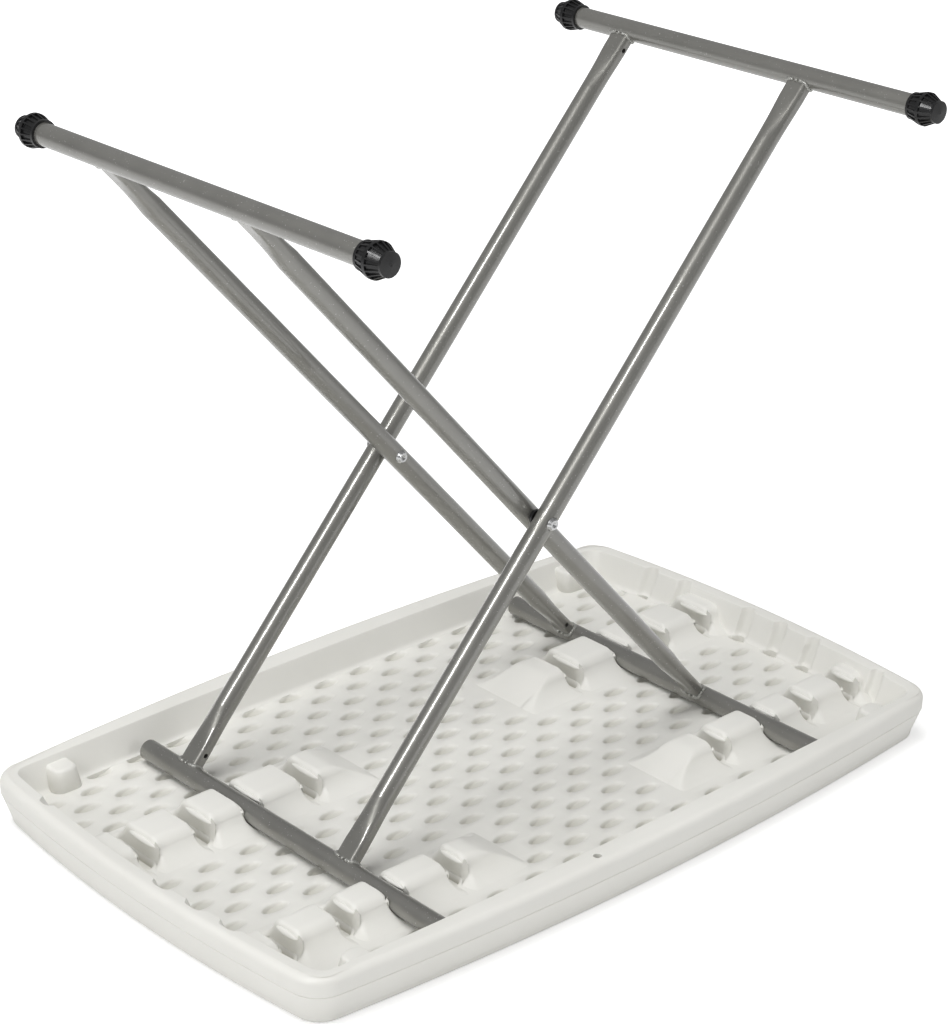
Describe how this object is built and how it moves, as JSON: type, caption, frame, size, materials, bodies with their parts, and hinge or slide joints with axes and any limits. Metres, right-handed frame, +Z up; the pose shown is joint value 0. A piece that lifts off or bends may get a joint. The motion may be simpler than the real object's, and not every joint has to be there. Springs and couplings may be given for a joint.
{
  "type": "folding table",
  "caption": "Small folding table, shown face down: moulded plastic top with snap hooks underneath and crossed steel tube legs that clip into them at several heights.",
  "frame": {"origin": "middle of the working face, which lies on the floor", "axes": "+X along the long side of the top, +Y across it, +Z up from the working face towards the feet; in use the table is turned over"},
  "size_m": [0.762, 0.478, 0.6214],
  "materials": {
    "moulded_plastic": "fine grained off-white",
    "grey_paint": "grey powder coat",
    "black_plastic": "satin black",
    "bright_steel": "bright zinc"
  },
  "bodies": {
    "tabletop": {"table_top": "moulded_plastic", "hooks_left_far": "moulded_plastic", "hooks_left_near": "moulded_plastic", "hooks_right_far": "moulded_plastic", "hooks_right_near": "moulded_plastic"},
    "outer_leg_frame": {"outer_crossbar": "grey_paint", "outer_leg_near": "grey_paint", "outer_leg_far": "grey_paint", "outer_foot_bar": "grey_paint", "outer_foot_cap_near": "black_plastic", "outer_foot_cap_far": "black_plastic", "outer_welds": "grey_paint", "pivot_rivet_near": "bright_steel", "pivot_rivet_far": "bright_steel", "pivot_spacer_near": "black_plastic", "pivot_spacer_far": "black_plastic"},
    "inner_leg_frame": {"inner_crossbar": "grey_paint", "inner_leg_near": "grey_paint", "inner_leg_far": "grey_paint", "inner_foot_bar": "grey_paint", "inner_foot_cap_near": "black_plastic", "inner_foot_cap_far": "black_plastic", "inner_welds": "grey_paint"}
  },
  "joints": [
    {"name": "leg_swing", "type": "hinge", "parent": "tabletop", "child": "outer_leg_frame", "pos_m": [-0.22348, 0, 0.02905], "axis": [0, -1, 0], "range_deg": [0, 80]},
    {"name": "leg_scissor", "type": "hinge", "parent": "outer_leg_frame", "child": "inner_leg_frame", "pos_m": [0, 0, 0.27724], "axis": [0, -1, 0], "range_deg": [-8, 0]}
  ],
  "couplings": [
    {"joint": "leg_scissor", "follows": "leg_swing", "ratio": -0.1}
  ]
}
